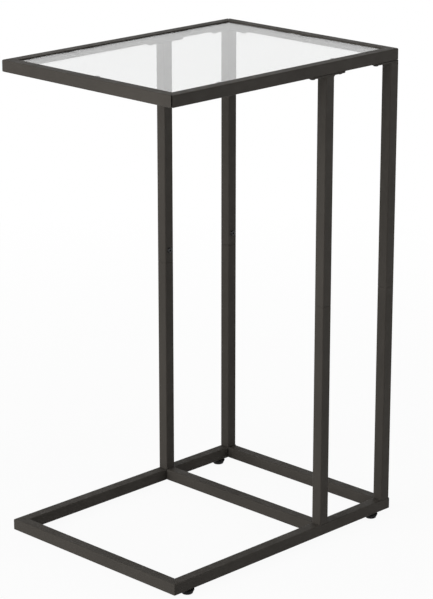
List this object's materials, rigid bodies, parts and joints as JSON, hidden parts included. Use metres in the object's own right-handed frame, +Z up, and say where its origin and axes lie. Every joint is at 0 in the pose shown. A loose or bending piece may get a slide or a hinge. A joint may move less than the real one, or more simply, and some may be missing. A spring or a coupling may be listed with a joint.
{
  "type": "c shaped side table",
  "caption": "C-shaped side table: dark square-tube steel frame, inset clear glass top on paired uprights at one end, and a base with levelling feet that slides under a seat.",
  "frame": {"origin": "on the floor, in the middle of the table's box", "axes": "+X from the open end to the spine with the uprights, +Y from front to back, +Z up"},
  "size_m": [0.4014, 0.303, 0.63],
  "materials": {
    "frame_paint": "dark charcoal-brown powder coat, satin, fine grain",
    "clear_glass": "clear tempered glass, polished bevelled edge",
    "clear_bumper": "clear soft pad",
    "black_screw": "black oxide, semi-gloss",
    "zinc_steel": "bright zinc plate",
    "cap_plastic": "fine-grained black plastic",
    "foot_plastic": "matte black plastic"
  },
  "bodies": {
    "frame": {"top_rail_front": "frame_paint", "top_rail_back": "frame_paint", "top_rail_open_end": "frame_paint", "top_rail_spine_end": "frame_paint", "glass_tab_front_1": "frame_paint", "glass_tab_front_2": "frame_paint", "glass_tab_back_1": "frame_paint", "glass_tab_back_2": "frame_paint", "glass_tab_open_end": "frame_paint", "glass_tab_spine_end": "frame_paint", "flange_plate_inner_front": "frame_paint", "flange_plate_inner_back": "frame_paint", "flange_plate_outer_front": "frame_paint", "flange_plate_outer_back": "frame_paint", "upper_upright_inner_front": "frame_paint", "upper_upright_inner_back": "frame_paint", "upper_upright_outer_front": "frame_paint", "upper_upright_outer_back": "frame_paint", "lower_upright_inner_front": "frame_paint", "lower_upright_inner_back": "frame_paint", "lower_upright_outer_front": "frame_paint", "lower_upright_outer_back": "frame_paint", "base_rail_front": "frame_paint", "base_rail_back": "frame_paint", "base_rail_open_end": "frame_paint", "base_rail_cross": "frame_paint", "base_rail_spine_end": "frame_paint", "glass_pane": "clear_glass", "glass_bumper_front_1": "clear_bumper", "glass_bumper_front_2": "clear_bumper", "glass_bumper_back_1": "clear_bumper", "glass_bumper_back_2": "clear_bumper", "glass_bumper_open_end": "clear_bumper", "glass_bumper_spine_end": "clear_bumper", "flange_screws": "black_screw", "joint_screws": "black_screw", "base_bolts": "black_screw", "joint_sleeve_inner_front": "zinc_steel", "joint_sleeve_inner_back": "zinc_steel", "joint_sleeve_outer_front": "zinc_steel", "joint_sleeve_outer_back": "zinc_steel", "nut_blocks": "zinc_steel", "rivet_nuts": "zinc_steel", "foot_inserts": "zinc_steel", "end_cap_front": "cap_plastic", "end_cap_back": "cap_plastic"},
    "stud_open_front": {"foot_stud_open_front": "zinc_steel"},
    "pad_open_front": {"foot_pad_open_front": "foot_plastic"},
    "stud_open_back": {"foot_stud_open_back": "zinc_steel"},
    "pad_open_back": {"foot_pad_open_back": "foot_plastic"},
    "stud_spine_front": {"foot_stud_spine_front": "zinc_steel"},
    "pad_spine_front": {"foot_pad_spine_front": "foot_plastic"},
    "stud_spine_back": {"foot_stud_spine_back": "zinc_steel"},
    "pad_spine_back": {"foot_pad_spine_back": "foot_plastic"}
  },
  "joints": [
    {"name": "foot_travel_open_front", "type": "slide", "parent": "frame", "child": "stud_open_front", "axis": [0, 0, -1], "range_m": [0, 0.005]},
    {"name": "foot_turn_open_front", "type": "hinge", "parent": "stud_open_front", "child": "pad_open_front", "pos_m": [-0.17175, -0.1425, 0], "axis": [0, 0, -1], "range_deg": [0, 1800]},
    {"name": "foot_travel_open_back", "type": "slide", "parent": "frame", "child": "stud_open_back", "axis": [0, 0, -1], "range_m": [0, 0.005]},
    {"name": "foot_turn_open_back", "type": "hinge", "parent": "stud_open_back", "child": "pad_open_back", "pos_m": [-0.17175, 0.1425, 0], "axis": [0, 0, -1], "range_deg": [0, 1800]},
    {"name": "foot_travel_spine_front", "type": "slide", "parent": "frame", "child": "stud_spine_front", "axis": [0, 0, -1], "range_m": [0, 0.005]},
    {"name": "foot_turn_spine_front", "type": "hinge", "parent": "stud_spine_front", "child": "pad_spine_front", "pos_m": [0.17175, -0.1425, 0], "axis": [0, 0, -1], "range_deg": [0, 1800]},
    {"name": "foot_travel_spine_back", "type": "slide", "parent": "frame", "child": "stud_spine_back", "axis": [0, 0, -1], "range_m": [0, 0.005]},
    {"name": "foot_turn_spine_back", "type": "hinge", "parent": "stud_spine_back", "child": "pad_spine_back", "pos_m": [0.17175, 0.1425, 0], "axis": [0, 0, -1], "range_deg": [0, 1800]}
  ],
  "couplings": [
    {"joint": "foot_turn_open_front", "follows": "foot_travel_open_front", "rad_per_m": 6283.2},
    {"joint": "foot_turn_open_back", "follows": "foot_travel_open_back", "rad_per_m": 6283.2},
    {"joint": "foot_turn_spine_front", "follows": "foot_travel_spine_front", "rad_per_m": 6283.2},
    {"joint": "foot_turn_spine_back", "follows": "foot_travel_spine_back", "rad_per_m": 6283.2}
  ]
}
